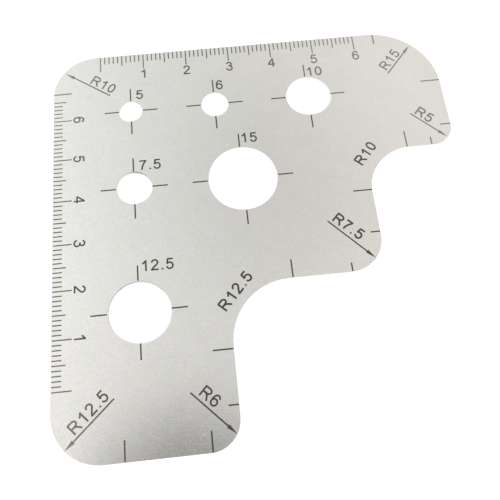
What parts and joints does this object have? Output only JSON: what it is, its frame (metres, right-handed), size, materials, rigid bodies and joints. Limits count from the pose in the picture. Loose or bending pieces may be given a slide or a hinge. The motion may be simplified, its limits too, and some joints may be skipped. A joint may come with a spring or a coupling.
{
  "type": "radius gauge",
  "caption": "Flat steel radius gauge: a stepped outline of rounded outside and inside corners, round holes of stated sizes, and a ruler along two edges.",
  "frame": {"origin": "on the back face, under the middle of the outline's box", "axes": "+X right along the top ruler edge, +Y towards the top ruler edge, +Z out of the marked face"},
  "size_m": [0.0892, 0.0908, 0.0005],
  "materials": {
    "plate": "satin stainless steel with dark etched lines"
  },
  "bodies": {
    "root": {"gauge_plate": "plate"}
  },
  "joints": []
}
